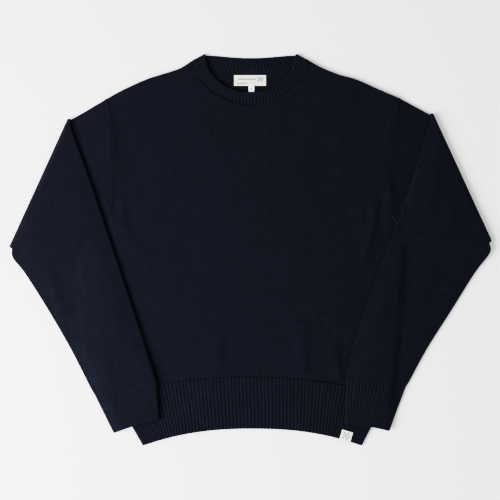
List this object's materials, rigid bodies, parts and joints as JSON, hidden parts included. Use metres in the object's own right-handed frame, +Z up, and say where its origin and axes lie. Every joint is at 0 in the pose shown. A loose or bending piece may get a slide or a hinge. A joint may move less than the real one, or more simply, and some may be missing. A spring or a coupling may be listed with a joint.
{
  "type": "crew-neck sweater",
  "caption": "Knitted crew-neck sweater laid flat, with ribbed neck, hem and cuffs and its sleeves folded over the front.",
  "frame": {"origin": "on the surface the sweater lies on, under the middle of its bounding box", "axes": "+Z up from the surface, +Y towards the neck, +X to the right when looking down on the front"},
  "size_m": [0.8368, 0.68, 0.0156],
  "materials": {
    "knit": "matte, slightly fuzzy navy cashmere stockinette",
    "rib_knit": "matte navy cashmere rib",
    "cream_label": "satin woven cream tape",
    "white_tab": "satin woven white tape"
  },
  "bodies": {
    "root": {"back": "knit", "front": "knit", "sleeve_left": "knit", "sleeve_right": "knit", "neckband": "rib_knit", "hem_rib_front": "rib_knit", "hem_rib_back": "rib_knit", "cuff_left": "rib_knit", "cuff_right": "rib_knit", "neck_label": "cream_label", "size_tab": "white_tab", "hem_label": "cream_label"}
  },
  "joints": []
}
